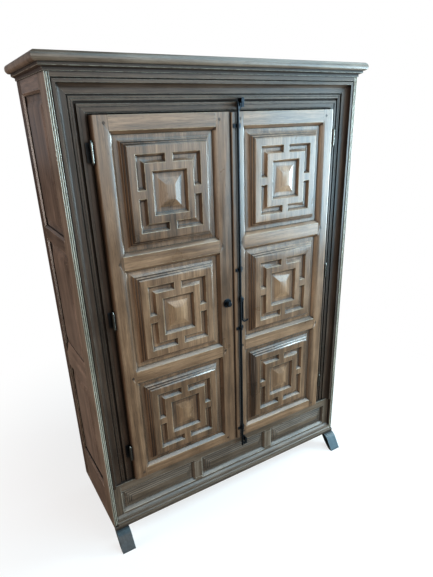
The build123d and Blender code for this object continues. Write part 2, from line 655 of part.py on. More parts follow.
def bolt_rod():
    """The turning rod, its pointed head, a finger at each end and the lever's collar."""
    rod = rod_between((ROD_X, ROD_Y, ROD_BOTTOM), (ROD_X, ROD_Y, ROD_TOP), ROD_RADIUS)
    point_height = ROD_TIP_TOP - ROD_TOP
    point = Pos(ROD_X, ROD_Y, ROD_TOP + point_height / 2) * Cone(ROD_RADIUS, 0.8, point_height)
    foot = Pos(ROD_X, ROD_Y, ROD_BOTTOM - 3) * Cone(2.5, ROD_RADIUS, 6)
    collar = rod_between((ROD_X, ROD_Y, LEVER_PIVOT_Z - 11), (ROD_X, ROD_Y, LEVER_PIVOT_Z + 11), 8)
    collar = fillet(collar.edges().filter_by(GeomType.CIRCLE), 2)
    pivot = rod_between((ROD_X, ROD_Y, LEVER_PIVOT_Z), (41.2, ROD_Y, LEVER_PIVOT_Z), PIN_RADIUS)
    head = rod_between((41.0, ROD_Y, LEVER_PIVOT_Z), (43.5, ROD_Y, LEVER_PIVOT_Z), 5)
    fingers = bolt_finger(ROD_TOP - 4, ROD_TOP + 12) + bolt_finger(256, 243)
    return rod + point + foot + collar + pivot + head + fingers


def bolt_lever():
    """The hanging lever: an eye on the collar's pivot, a flat bar and a curled tail."""
    plate_x0, plate_x1 = 36.6, 40.6
    eye = rod_between((plate_x0, ROD_Y, LEVER_PIVOT_Z), (plate_x1, ROD_Y, LEVER_PIVOT_Z), 7)
    bar = prism([(plate_x0, ROD_Y - 5, LEVER_PIVOT_Z - 2), (plate_x0, ROD_Y + 5, LEVER_PIVOT_Z - 2),
                 (plate_x0, ROD_Y + 3, 903), (plate_x0, ROD_Y - 3, 903)],
                (1, 0, 0), plate_x1 - plate_x0)
    y = ROD_Y - 3
    tail = make_face(Wire([
        Line((plate_x1, y, 906), (plate_x0, y, 906)),
        ThreePointArc((plate_x0, y, 906), (39.6, y, 896.5), (47, y, 893)),
        Line((47, y, 893), (58, y, 894.5)),
        ThreePointArc((58, y, 894.5), (63.5, y, 897), (66.5, y, 903)),
        Line((66.5, y, 903), (56.5, y, 898.8)),
        Line((56.5, y, 898.8), (47, y, 898)),
        ThreePointArc((47, y, 898), (42.2, y, 900.5), (plate_x1, y, 906)),
    ]))
    bore = rod_between((plate_x0 - 1, ROD_Y, LEVER_PIVOT_Z), (plate_x1 + 1, ROD_Y, LEVER_PIVOT_Z),
                       PIN_RADIUS + RUNNING_CLEARANCE)
    return eye + bar + extrude(tail, amount=6, dir=(0, 1, 0)) - bore


def rod_guide(z):
    """An eye round the rod, nailed to the stile on one side and to the astragal on the other."""
    plate = block(ROD_X - 5.4, ROD_X + 18, -2.5, 0, z - 8, z + 8)
    plate = fillet(plate.edges().filter_by(Axis.Y).group_by(Axis.X)[-1], 4)
    stem = block(ROD_X - 4.5, ROD_X + 4.5, ROD_Y + 2, -2, z - 7, z + 7)
    wing = block(ROD_X - 20, ROD_X, ROD_Y + 2, -ASTRAGAL_HEIGHT, z - 6, z + 6)
    eye = rod_between((ROD_X, ROD_Y, z - 7), (ROD_X, ROD_Y, z + 7), 8.2)
    guide = plate + stem + wing + eye
    guide += rod_between((ROD_X + 13, -3.8, z), (ROD_X + 13, -2, z), 3)
    guide += rod_between((ROD_X - 15, ROD_Y + 0.7, z), (ROD_X - 15, ROD_Y + 3, z), 3)
    bore = rod_between((ROD_X, ROD_Y, z - 8), (ROD_X, ROD_Y, z + 8),
                       ROD_RADIUS + RUNNING_CLEARANCE)
    return guide - bore


def bolt_keepers():
    """Iron lugs on the head moulding and on the base rail, beside the rod's fingers."""
    plate_thickness = 3.0
    outer_x = KEEPER_X + 11
    keepers = []
    for seat_y, z0, z1 in ((FRAME_LIST_Y, 1742.0, 1774.0), (BASE_FACE_Y, 247.0, 276.0)):
        lug = block(outer_x - plate_thickness, outer_x, -15, seat_y, z0, z1)
        keepers.append(lug + block(KEEPER_X, outer_x, -15, -12, z0, z1))
    return keepers


# Knob -----------------------------------------------------------------------------------
def knob_rosette():
    """The plate under the knob, on the left-hand door."""
    disc = rod_between((KNOB_X, -3, KNOB_Z), (KNOB_X, 0, KNOB_Z), 19)
    disc = chamfer(disc.edges().filter_by(GeomType.CIRCLE).group_by(Axis.Y)[0], 2)
    hole = rod_between((KNOB_X, -4, KNOB_Z), (KNOB_X, 1, KNOB_Z), 5.3)
    return disc - hole


def door_knob():
    """The turning knob, its spindle through the stile and the catch finger inside."""
    spindle = rod_between((KNOB_X, -8, KNOB_Z), (KNOB_X, 44, KNOB_Z), 5)
    neck = Pos(KNOB_X, -6.5, KNOB_Z) * Rot(90, 0, 0) * Cone(8, 6, 6)
    ball = Pos(KNOB_X, -15, KNOB_Z) * Sphere(12)
    front = block(KNOB_X - 20, KNOB_X + 20, -40, -24, KNOB_Z - 20, KNOB_Z + 20)
    back = block(KNOB_X - 20, KNOB_X + 20, -8, 10, KNOB_Z - 20, KNOB_Z + 20)
    finger = block(KNOB_X - 6, KNOB_X + 6, DOOR_THICKNESS + 0.6, DOOR_THICKNESS + 4,
                   KNOB_Z - 45, KNOB_Z + 7)
    return (ball - front - back) + neck + spindle + finger


# Writing --------------------------------------------------------------------------------
def write_pair(name, shape_right):
    """Write a piece and its mirror image as name_right and name_left."""
    write(f"{name}_right", shape_right)
    write(f"{name}_left", mirrored(shape_right))


def write_carcass():
    """Every fixed wooden piece."""
    write("top_board", top_board())
    write("cornice_front", cornice_front())
    write_pair("cornice_side", cornice_side())
    write_pair("front_post", front_post())
    write_pair("rope_carving", rope_carving())
    write("head_moulding", head_moulding())
    write_pair("jamb_moulding", jamb_moulding())
    write_pair("door_jamb", door_jamb())
    write("lintel", lintel())
    back_y = CARCASS_FRONT_Y + JAMB_THICKNESS
    write("door_sill", block(-JAMB_INNER_X, JAMB_INNER_X, CARCASS_FRONT_Y, back_y, LEDGE_TOP,
                             LEDGE_TOP + 18))

    blank = base_frame()
    upper = base_rail(blank, BASE_OPENING_TOP - BASE_BEVEL, LEDGE_TOP)
    lower = base_rail(blank, POST_BOTTOM, BASE_OPENING_BOTTOM + BASE_BEVEL)
    write("base_rails", upper, lower)
    write("base_uprights", blank - upper - lower)
    write("base_panels", *[base_panel(x0, x1) for x0, x1 in BASE_PANEL_SPANS])
    write("base_backing", block(-POST_INNER_X, POST_INNER_X, CARCASS_FRONT_Y, back_y,
                                POST_BOTTOM, LEDGE_TOP))
    write("plinth_moulding", plinth_moulding())
    write("plinth_boards", *plinth_boards())
    write_pair("front_foot", front_foot())
    write("back_feet", back_foot(), mirrored(back_foot()))

    write("back_posts", back_post(), mirrored(back_post()))
    rails = side_rails()
    panels = side_panels()
    write("side_rails_right", *rails)
    write("side_rails_left", *[mirrored(rail) for rail in rails])
    write("side_panels_right", *panels)
    write("side_panels_left", *[mirrored(panel) for panel in panels])
    write("bottom_board", notched_board(LEDGE_TOP - BOARD_THICKNESS, LEDGE_TOP, back_y,
                                        BACK_RAIL_Y))
    write("shelves", *[notched_board(z, z + SHELF_THICKNESS, SHELF_FRONT_Y, BACK_RAIL_Y)
                       for z in SHELF_HEIGHTS])
    write("shelf_cleats", *shelf_cleats())
    write("back_boards", *back_boards())
    write("back_rails", *back_rails())


def write_door(side, inner_x, place):
    """The wooden pieces of one door; place turns a right-hand piece to its side."""
    blank = door_frame(inner_x)
    pegs = door_pegs()
    for peg in pegs:
        blank -= peg
    if side == "left":
        blank -= rod_between((-KNOB_X, -1, KNOB_Z), (-KNOB_X, DOOR_THICKNESS + 1, KNOB_Z),
                             5 + RUNNING_CLEARANCE)
    rails = door_rails(blank)
    stiles = blank
    for rail in rails:
        stiles -= rail
    meeting, hinge = stiles.solids().sort_by(Axis.X)
    write(f"door_{side}_meeting_stile", place(meeting))
    write(f"door_{side}_hinge_stile", place(hinge))
    write(f"door_{side}_rails", *[place(rail) for rail in rails])
    write(f"door_{side}_pegs", *[place(peg) for peg in pegs])
    for name, bottom in zip(("lower", "middle", "upper"), OPENING_BOTTOMS):
        write(f"door_{side}_panel_{name}", place(carved_panel(bottom)))


def write_hardware():
    """Hinges, bolt and knob."""
    frame_leaves = [hinge_frame_leaf(z) for z in HINGE_HEIGHTS]
    door_leaves = [hinge_door_leaf(z) for z in HINGE_HEIGHTS]
    pins = [hinge_pin(z) for z in HINGE_HEIGHTS]
    write("hinge_frame_leaves_right", *frame_leaves)
    write("hinge_frame_leaves_left", *[mirrored(leaf) for leaf in frame_leaves])
    write("hinge_door_leaves_right", *door_leaves)
    write("hinge_door_leaves_left", *[mirrored(leaf) for leaf in door_leaves])
    write("hinge_pins", *pins, *[mirrored(pin) for pin in pins])
    write("astragal", astragal())
    write("rod_guides", *[rod_guide(z) for z in GUIDE_HEIGHTS])
    write("bolt_rod", bolt_rod())
    write("bolt_lever", bolt_lever())
    write("bolt_keepers", *bolt_keepers())
    write("knob_rosette", knob_rosette())
    write("door_knob", door_knob())


os.makedirs("parts", exist_ok=True)
write_carcass()
write_door("right", RIGHT_DOOR_INNER_X, lambda shape: shape)
write_door("left", -LEFT_DOOR_INNER_X, mirrored)
write_hardware()
print("wrote", len(os.listdir("parts")), "pieces")
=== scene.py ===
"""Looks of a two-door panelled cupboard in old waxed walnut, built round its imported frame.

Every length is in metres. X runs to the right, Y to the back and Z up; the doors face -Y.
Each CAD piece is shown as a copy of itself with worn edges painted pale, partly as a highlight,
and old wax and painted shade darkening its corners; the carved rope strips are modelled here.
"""
import json
import logging
import math
import random
from collections.abc import Iterator
from dataclasses import dataclass
from enum import Enum

import bmesh
import bpy
from mathutils import Matrix, Vector


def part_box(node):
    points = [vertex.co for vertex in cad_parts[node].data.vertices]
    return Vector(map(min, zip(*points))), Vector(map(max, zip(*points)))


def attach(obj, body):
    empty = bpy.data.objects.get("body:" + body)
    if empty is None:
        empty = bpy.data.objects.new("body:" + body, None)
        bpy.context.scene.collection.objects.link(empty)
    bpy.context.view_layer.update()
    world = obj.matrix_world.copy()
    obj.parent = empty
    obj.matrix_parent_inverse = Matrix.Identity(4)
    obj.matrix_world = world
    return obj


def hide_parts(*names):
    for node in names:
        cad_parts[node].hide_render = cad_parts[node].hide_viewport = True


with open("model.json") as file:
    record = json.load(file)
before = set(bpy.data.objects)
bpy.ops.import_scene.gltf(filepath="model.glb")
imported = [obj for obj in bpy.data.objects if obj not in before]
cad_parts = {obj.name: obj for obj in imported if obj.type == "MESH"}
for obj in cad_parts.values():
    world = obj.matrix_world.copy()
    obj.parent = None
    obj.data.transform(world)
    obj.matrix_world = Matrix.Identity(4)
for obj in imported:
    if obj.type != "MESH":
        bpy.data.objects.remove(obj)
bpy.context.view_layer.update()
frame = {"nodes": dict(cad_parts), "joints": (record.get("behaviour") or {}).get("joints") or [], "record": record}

LOG = logging.getLogger("cupboard")
MM = 0.001
IMAGE_WIDTH, IMAGE_HEIGHT = 433, 577

SHARP = math.radians(28)          # steeper edges are worn and painted pale as highlights, and steeper corners get old wax and painted shade
SHALLOW = math.radians(12)        # the sides of a reed rise at least this steeply from its foot
FLAT = math.radians(0.5)          # triangles within this angle of each other are one face
SMOOTH = math.radians(18)         # edges under this angle are shaded smooth
MERGE = 0.02 * MM                 # points nearer than this are one point
CLEARANCE = 0.9                   # a bevel stays off strips narrower than this share of its width
BOARD_SHIFT = 2.0                 # how far the grain of a board may be moved, in metres
BOARD_TONE = 0.06                 # how much darker or paler than its neighbours a board may be

BODY_OF = {node: body for body, nodes in frame["record"]["behaviour"]["bodies"].items() for node in nodes}
JOINT_OF = {joint["child"]: joint for joint in frame["joints"]}

Socket = bpy.types.NodeSocket
Tree = bpy.types.NodeTree
Colour = tuple[float, float, float, float]
Stops = list[tuple[float, Colour]]
Place = tuple[float, float, float]


class Grain(Enum):
    """Way the grain of a board runs."""

    UPRIGHT = "upright"
    LEVEL = "level"
    DEEP = "deep"


class Zone(Enum):
    """Part of a board's surface, each with its own state of wear; edges carry a painted highlight and corners
    painted shade.
    """

    FACE = "face"
    WORN_EDGE = "worn_edge"
    WAXED_CORNER = "waxed_corner"


class Twist(Enum):
    """Way a carved rope turns as it rises."""

    RIGHT_HAND = 1
    LEFT_HAND = -1


# A worn piece has one material for each zone, and some have one more after those.
MATERIAL_SLOT = {zone: index for index, zone in enumerate(Zone)}
EXTRA_SLOT = len(Zone)


# Shader helpers -------------------------------------------------------------------------
def linear(code: str) -> Colour:
    """Turn an sRGB hex colour into linear RGBA.

    Args:
        code: Colour as #rrggbb.

    Returns:
        The linear colour, opaque.
    """
    parts = [int(code[i:i + 2], 16) / 255 for i in (1, 3, 5)]
    return (*(p / 12.92 if p <= 0.04045 else ((p + 0.055) / 1.055) ** 2.4 for p in parts), 1.0)


def per_metre(size_mm: float) -> float:
    """Noise scale whose features are about size_mm across."""
    return 1000.0 / size_mm


def add(tree: Tree, kind: str, links: dict[str | int, Socket] | None = None,
        values: dict[str | int, object] | None = None, stops: Stops | None = None,
        **settings: object) -> bpy.types.Node:
    """Add a node, set it and link its inputs.

    Args:
        tree: Node tree that takes the node.
        kind: Node type.
        links: Input name or number to the output that feeds it.
        values: Input name or number to its value.
        stops: Position and linear colour of each stop of a colour ramp.
        **settings: Properties of the node itself.

    Returns:
        The new node.
    """
    node = tree.nodes.new(kind)
    for key, value in settings.items():
        setattr(node, key, value)
    for key, value in (values or {}).items():
        node.inputs[key].default_value = value
    for key, source in (links or {}).items():
        tree.links.new(source, node.inputs[key])
    if stops:
        elements = node.color_ramp.elements
        while len(elements) < len(stops):
            elements.new(0.5)
        for element, (position, colour) in zip(elements, stops):
            element.position = position
            element.color = colour
    return node


def grey(value: float) -> Colour:
    """A grey of that linear value."""
    return (value, value, value, 1.0)


def new_material(name: str) -> bpy.types.Material:
    """Make a material with no nodes yet.

    Args:
        name: Name of the material.

    Returns:
        The empty material.
    """
    material = bpy.data.materials.new(name)
    material.use_nodes = True
    material.node_tree.nodes.clear()
    return material


# Finishes -------------------------------------------------------------------------------
@dataclass(frozen=True)
class WaxedWalnut:
    """Walnut, hand planed, stained by age and waxed: brown figure, dark pores, a soft sheen.

    The face of a board shows streaked grain; worn edges are paler and smoother, the paleness partly a
    painted highlight; hollows and corners are darkened nearly black and dull by old wax and painted shade.
    """

    name: str
    grain: Grain
    zone: Zone = Zone.FACE
    dark: str = "#312319"
    middle: str = "#6b4f39"
    light: str = "#9d7a5c"
    # pale colour of worn edges: partly wear, partly a painted highlight
    rubbed: str = "#a08c70"
    # near black of old wax and of painted shade, in corners and hollows
    wax_and_shade: str = "#17110e"
    roughness: float = 0.33
    specular: float = 0.5
    ior: float = 1.5
    wax: float = 0.5
    wax_roughness: float = 0.24
    wax_and_shade_roughness: float = 0.85
    # how far and how strongly ambient occlusion paints shade, with old wax, into hollows
    wax_reach_mm: float = 12.0
    full_wax_and_shade: float = 0.74
    thin_wax_and_shade: float = 0.94
    wood_through_wax_and_shade: float = 0.10
    figure_mm: float = 26.0
    streak_mm: float = 4.0
    streak_share: float = 0.38
    pore_mm: float = 1.1          # real pores, about 0.2 mm wide, would be too fine to show
    pore_depth_mm: float = 0.3
    patch_mm: float = 150.0
    patch_share: float = 0.30
    plane_mark_mm: float = 34.0
    plane_mark_depth_mm: float = 1.2
    patchiness_mm: float = 22.0
    stretch: float = 0.05

    def build(self) -> bpy.types.Material:
        """Build the material, or give the one already built.

        Returns:
            The material of this board, grain and zone.
        """
        label = f"{self.name}_{self.grain.value}_{self.zone.value}"
        if label in bpy.data.materials:
            return bpy.data.materials[label]
        material = new_material(label)
        tree = material.node_tree
        place = self._place(tree)
        along = self._along(tree, place)
        patches = add(tree, "ShaderNodeTexNoise", {"Vector": place},
                      {"Scale": per_metre(self.patch_mm), "Detail": 3.0}).outputs["Fac"]
        streaks = add(tree, "ShaderNodeTexNoise", {"Vector": along},
                      {"Scale": per_metre(self.streak_mm), "Detail": 3.0, "Roughness": 0.6}).outputs["Fac"]
        pores = add(tree, "ShaderNodeTexNoise", {"Vector": along},
                    {"Scale": per_metre(self.pore_mm), "Detail": 1.0})
        pore_shade = add(tree, "ShaderNodeValToRGB", {"Fac": pores.outputs["Fac"]},
                         stops=[(0.60, grey(1.0)), (0.72, grey(0.45))]).outputs["Color"]
        wood = self._wood(tree, along, patches, streaks)
        colour = add(tree, "ShaderNodeMix", {6: wood, 7: pore_shade}, {0: 0.8},
                     data_type="RGBA", blend_type="MULTIPLY").outputs[2]
        colour, gloss = self._wear_and_painted_light(tree, place, colour)
        colour, clear_of_wax_and_shade = self._wax_and_painted_shade(tree, colour)
        planed, open_grain = self._relief(tree, along, streaks, pore_shade)
        rough = add(tree, "ShaderNodeMapRange", {"Value": patches},
                    {"From Min": 0.3, "From Max": 0.7, "To Min": gloss - 0.06, "To Max": gloss + 0.08})
        dull = add(tree, "ShaderNodeMix", {0: clear_of_wax_and_shade, 3: rough.outputs[0]}, {2: self.wax_and_shade_roughness},
                   data_type="FLOAT")
        surface = {"Base Color": colour, "Roughness": dull.outputs[0], "Normal": open_grain}
        if self.wax:
            polish = add(tree, "ShaderNodeMath", {0: clear_of_wax_and_shade}, {1: self.wax}, operation="MULTIPLY")
            surface |= {"Coat Weight": polish.outputs[0], "Coat Normal": planed}
        shader = add(tree, "ShaderNodeBsdfPrincipled", surface,
                     {"IOR": self.ior, "Coat Roughness": self.wax_roughness,
                      "Specular IOR Level": self.specular})
        add(tree, "ShaderNodeOutputMaterial", {"Surface": shader.outputs[0]})
        return material

    def _wood(self, tree: Tree, along: Socket, patches: Socket, streaks: Socket) -> Socket:
        """Colour the figure and streaks of the board, in patches, at the board's own tone.

        Args:
            tree: Node tree of the material.
            along: Coordinates squeezed along the grain.
            patches: Broad darker and paler areas.
            streaks: Fine lines of the grain.

        Returns:
            The colour of the wood, without its pores.
        """
        figure = add(tree, "ShaderNodeTexNoise", {"Vector": along},
                     {"Scale": per_metre(self.figure_mm), "Detail": 4.0, "Distortion": 0.7})
        grain = add(tree, "ShaderNodeMix", {2: figure.outputs["Fac"], 3: streaks}, {0: self.streak_share},
                    data_type="FLOAT")
        tone = add(tree, "ShaderNodeAttribute", attribute_name="board_tone").outputs["Fac"]
        toned = add(tree, "ShaderNodeMath", {0: grain.outputs[0], 1: tone}, operation="ADD")
        shifted = add(tree, "ShaderNodeMath", {0: patches, 2: toned.outputs[0]}, {1: self.patch_share},
                      operation="MULTIPLY_ADD")
        centred = add(tree, "ShaderNodeMath", {0: shifted.outputs[0]}, {1: self.patch_share / 2},
                      operation="SUBTRACT")
        stops = [(0.26, linear(self.dark)), (0.50, linear(self.middle)), (0.76, linear(self.light))]
        return add(tree, "ShaderNodeValToRGB", {"Fac": centred.outputs[0]}, stops=stops).outputs["Color"]

    def _relief(self, tree: Tree, along: Socket, streaks: Socket,
                pore_shade: Socket) -> tuple[Socket, Socket]:
        """Shape the shallow hollows of the hand plane, and the open grain on them.

        Args:
            tree: Node tree of the material.
            along: Coordinates squeezed along the grain.
            streaks: Fine lines of the grain.
            pore_shade: White on the surface, and darker in the pores.

        Returns:
            The normal of the planed surface, and the normal with its grain and pores.
        """
        hollows = add(tree, "ShaderNodeTexNoise", {"Vector": along},
                      {"Scale": per_metre(self.plane_mark_mm), "Detail": 1.0})
        planed = add(tree, "ShaderNodeBump", {"Height": hollows.outputs["Fac"]},
                     {"Strength": 0.5, "Distance": self.plane_mark_depth_mm * MM}).outputs[0]
        height = add(tree, "ShaderNodeMath", {0: streaks, 1: pore_shade}, operation="MULTIPLY")
        open_grain = add(tree, "ShaderNodeBump", {"Height": height.outputs[0], "Normal": planed},
                         {"Strength": 0.25, "Distance": self.pore_depth_mm * MM}).outputs[0]
        return planed, open_grain

    def _wax_and_painted_shade(self, tree: Tree, colour: Socket) -> tuple[Socket, Socket]:
        """Darken the wood in hollows and at the feet of reeds: old wax, and painted shade where shade would fall.

        Args:
            tree: Node tree of the material.
            colour: The wood's colour.

        Returns:
            The darkened colour, and how far the wood is from old wax and painted shade.
        """
        # ambient occlusion darkens the hollows: painted shade, with old wax
        hollow = add(tree, "ShaderNodeAmbientOcclusion", None, {"Distance": self.wax_reach_mm * MM},
                     samples=6)
        open_wood = add(tree, "ShaderNodeMapRange", {"Value": hollow.outputs["AO"]},
                        {"From Min": self.full_wax_and_shade, "From Max": self.thin_wax_and_shade,
                         "To Min": self.wood_through_wax_and_shade, "To Max": 1.0})
        # the feet of reeds are darkened as painted shade
        foot = add(tree, "ShaderNodeAttribute", attribute_name="reed_foot")
        off_foot = add(tree, "ShaderNodeMapRange", {"Value": foot.outputs["Fac"]},
                       {"From Min": 0.35, "From Max": 0.80, "To Min": 1.0,
                        "To Max": self.wood_through_wax_and_shade})
        clear_of_wax_and_shade = add(tree, "ShaderNodeMath", {0: open_wood.outputs[0], 1: off_foot.outputs[0]},
                    operation="MINIMUM")
        darkened = add(tree, "ShaderNodeMix", {0: clear_of_wax_and_shade.outputs[0], 7: colour}, {6: linear(self.wax_and_shade)},
                       data_type="RGBA")
        return darkened.outputs[2], clear_of_wax_and_shade.outputs[0]

    def _place(self, tree: Tree) -> Socket:
        """Move the object coordinates by each board's own offset, so that no two boards match.

        Args:
            tree: Node tree of the material.

        Returns:
            The board's coordinates.
        """
        coordinates = add(tree, "ShaderNodeTexCoord")
        offset = add(tree, "ShaderNodeAttribute", attribute_name="board_offset")
        return add(tree, "ShaderNodeVectorMath", {0: coordinates.outputs["Object"],
                                                  1: offset.outputs["Vector"]}).outputs[0]

    def _along(self, tree: Tree, place: Socket) -> Socket:
        """Squeeze the coordinates along the grain, so that noise draws out into streaks.

        Args:
            tree: Node tree of the material.
            place: The board's coordinates.

        Returns:
            The squeezed coordinates.
        """
        scale = {Grain.LEVEL: (self.stretch, 1, 1), Grain.DEEP: (1, self.stretch, 1),
                 Grain.UPRIGHT: (1, 1, self.stretch)}[self.grain]
        return add(tree, "ShaderNodeMapping", {"Vector": place}, {"Scale": scale}).outputs[0]

    def _wear_and_painted_light(self, tree: Tree, place: Socket, colour: Socket) -> tuple[Socket, float]:
        """Paint the colour paler on edges, as wear and painted highlight, or near black in corners, as old wax and
        painted shade.

        Args:
            tree: Node tree of the material.
            place: The board's coordinates.
            colour: The wood's colour.

        Returns:
            The colour of this zone, and its middle roughness.
        """
        if self.zone is Zone.FACE:
            return colour, self.roughness
        breaks = add(tree, "ShaderNodeTexNoise", {"Vector": place},
                     {"Scale": per_metre(self.patchiness_mm), "Detail": 4.0, "Roughness": 0.65})
        worn = self.zone is Zone.WORN_EDGE
        stops = [(0.36, grey(0.15)), (0.62, grey(0.85))] if worn else [(0.3, grey(0.95)), (0.7, grey(0.6))]
        amount = add(tree, "ShaderNodeValToRGB", {"Fac": breaks.outputs["Fac"]}, stops=stops)
        # edges take the pale worn colour, partly a painted highlight; corners take old wax and painted shade
        target = linear(self.rubbed if worn else self.wax_and_shade)
        mixed = add(tree, "ShaderNodeMix", {0: amount.outputs["Color"], 6: colour}, {7: target},
                    data_type="RGBA")
        return mixed.outputs[2], self.roughness - 0.08 if worn else self.roughness + 0.2


@dataclass(frozen=True)
class ForgedIron:
    """Wrought iron, hammered, blackened and waxed: dark blue-black with dents and rubbed highlights."""

    name: str
    scale_colour: str = "#15181c"
    metal_colour: str = "#3d444b"
    roughness: float = 0.42
    dent_mm: float = 7.0
    pit_mm: float = 1.6
    dent_depth_mm: float = 0.8

    def build(self) -> bpy.types.Material:
        """Build the material, or give the one already built.

        Returns:
            The iron's material.
        """
        if self.name in bpy.data.materials:
            return bpy.data.materials[self.name]
        material = new_material(self.name)
        tree = material.node_tree
        place = add(tree, "ShaderNodeTexCoord").outputs["Object"]
        dents = add(tree, "ShaderNodeTexNoise", {"Vector": place},
                    {"Scale": per_metre(self.dent_mm), "Detail": 2.0})
        pits = add(tree, "ShaderNodeTexNoise", {"Vector": place},
                   {"Scale": per_metre(self.pit_mm), "Detail": 4.0})
        stops = [(0.35, linear(self.scale_colour)), (0.7, linear(self.metal_colour))]
        colour = add(tree, "ShaderNodeValToRGB", {"Fac": pits.outputs["Fac"]}, stops=stops).outputs["Color"]
        height = add(tree, "ShaderNodeMath", {0: pits.outputs["Fac"], 2: dents.outputs["Fac"]},
                     {1: 0.25}, operation="MULTIPLY_ADD")
        bump = add(tree, "ShaderNodeBump", {"Height": height.outputs[0]},
                   {"Strength": 0.5, "Distance": self.dent_depth_mm * MM})
        rough = add(tree, "ShaderNodeMapRange", {"Value": pits.outputs["Fac"]},
                    {"From Min": 0.3, "From Max": 0.7, "To Min": self.roughness + 0.15,
                     "To Max": self.roughness - 0.1})
        shader = add(tree, "ShaderNodeBsdfPrincipled",
                     {"Base Color": colour, "Roughness": rough.outputs[0], "Normal": bump.outputs[0]},
                     {"Metallic": 1.0})
        add(tree, "ShaderNodeOutputMaterial", {"Surface": shader.outputs[0]})
        return material


def walnut(name: str, **looks: str | float) -> dict[Grain, dict[Zone, WaxedWalnut]]:
    """One finish, for every way the grain runs and every zone of a board.

    Args:
        name: Name of the finish.
        **looks: Fields of the finish that differ from the usual ones.

    Returns:
        The finish of each grain, by zone.
    """
    return {grain: {zone: WaxedWalnut(name, grain, zone, **looks) for zone in Zone} for grain in Grain}


# Doors: warm brown, with the strongest figure and sheen.
WALNUT = walnut("waxed_walnut")
# Mouldings: dark with age, nearly matt, with pale arrises, partly worn and partly a painted highlight, and wide
# painted shade in their hollows.
DARK_WALNUT = walnut("dark_waxed_walnut", dark="#1c1510", middle="#3c2d23", light="#5e4b3c",
                     rubbed="#989484", roughness=0.42, specular=0.3, wax=0.1, wax_reach_mm=14.0)
# Top board, corner posts and base: bleached to a grey brown by light and wear.
GREY_WALNUT = walnut("grey_waxed_walnut", dark="#281f18", middle="#5b4b3d", light="#837262",
                     rubbed="#aea698", roughness=0.36, wax=0.3)
# Front feet: blue black, a painted reflection of the cool sky light on their raked faces.
SKY_SHEEN_FOOT_WALNUT = walnut("foot_waxed_walnut", dark="#10171a", middle="#243036", light="#3a484f",
                     rubbed="#7c8c92", roughness=0.42, specular=0.35, wax=0.3)
# Sides: less red than the doors, with old wax and painted shade that fade out wide round the panels.
SIDE_WALNUT = walnut("side_waxed_walnut", dark="#30261f", middle="#5f4e42", light="#897465",
                     rubbed="#7c6a5a", wax_reach_mm=26.0)
# Inside and back: never waxed, paler and dull.
PLAIN_WALNUT = walnut("unwaxed_walnut", dark="#3a2c20", middle="#6b543f", light="#917759",
                      roughness=0.68, wax=0.0)
# Bosses of the door panels: paler and smoother than the field, a painted brightening for the light the proud
# bosses catch.
BOSS_PAINTED_LIGHT_WALNUT = WaxedWalnut("hand_rubbed_walnut", Grain.UPRIGHT, dark="#473324", middle="#7f6046",
                          light="#ab8765", roughness=0.28, wax_reach_mm=4.0)
# Beads and rope of the corner posts: painted a pale grey as highlights, with painted shade in the twist.
BEAD_HIGHLIGHT_WALNUT = WaxedWalnut("rubbed_walnut", Grain.UPRIGHT, dark="#57534a", middle="#948f80",
                            light="#c4c0b0", roughness=0.3, wax_reach_mm=2.5)
# Bolt, knob and hinge leaves: black fire scale under wax.
BLACK_IRON = ForgedIron("blackened_wrought_iron")
# Hinge knuckles: pale grey metal, partly worn bare and partly a painted highlight on the round barrel.
KNUCKLE_HIGHLIGHT_IRON = ForgedIron("knuckle_iron_painted_highlight", scale_colour="#35342f", metal_colour="#8c8b86", roughness=0.32,
                         dent_mm=9.0)


# Mesh helpers ---------------------------------------------------------------------------
def activate(piece: bpy.types.Object) -> None:
    """Make a piece the only selected and active one.

    Args:
        piece: The object.
    """
    bpy.ops.object.select_all(action="DESELECT")
    piece.select_set(True)
    bpy.context.view_layer.objects.active = piece


def apply_modifier(piece: bpy.types.Object, kind: str, **settings: object) -> None:
    """Add a modifier, set it and apply it.

    Args:
        piece: The mesh object.
        kind: Modifier type.
        **settings: Properties of the modifier.
    """
    activate(piece)
    modifier = piece.modifiers.new(kind.lower(), kind)
    for key, value in settings.items():
        setattr(modifier, key, value)
    bpy.ops.object.modifier_apply(modifier=modifier.name)


def separate_boards(mesh: bmesh.types.BMesh) -> Iterator[list[bmesh.types.BMVert]]:
    """Find the separate solids of a mesh.

    Args:
        mesh: Mesh of one or more solids that don't touch.

    Yields:
        The vertices of each solid.
    """
    seen = set()
    for start in mesh.verts:
        if start in seen:
            continue
        seen.add(start)
        board = []
        queue = [start]
        while queue:
            vertex = queue.pop()
            board.append(vertex)
            neighbours = {edge.other_vert(vertex) for edge in vertex.link_edges} - seen
            seen |= neighbours
            queue.extend(neighbours)
        yield board


def mark_boards(piece: bpy.types.Object, seed: int) -> None:
    """Give each separate solid of a piece its own grain offset and tone.

    Args:
        piece: The mesh object.
        seed: Seed of the draws.
    """
    draws = random.Random(seed)
    mesh = bmesh.new()
    mesh.from_mesh(piece.data)
    offset = mesh.verts.layers.float_vector.new("board_offset")
    tone = mesh.verts.layers.float.new("board_tone")
    for board in separate_boards(mesh):
        shift = Vector([draws.uniform(-BOARD_SHIFT, BOARD_SHIFT) for _ in range(3)])
        shade = draws.uniform(-BOARD_TONE, BOARD_TONE)
        for vertex in board:
            vertex[offset] = shift
            vertex[tone] = shade
    mesh.to_mesh(piece.data)
    mesh.free()


def merge_triangles() -> None:
    """Merge the loose triangles of the piece in edit mode into whole faces that point outwards."""
    bpy.ops.mesh.select_all(action="SELECT")
    bpy.ops.mesh.remove_doubles(threshold=MERGE)
    bpy.ops.mesh.dissolve_limited(angle_limit=FLAT)
    bpy.ops.mesh.select_all(action="SELECT")
    bpy.ops.mesh.vert_connect_concave()
    bpy.ops.mesh.select_all(action="SELECT")
    bpy.ops.mesh.normals_make_consistent(inside=False)


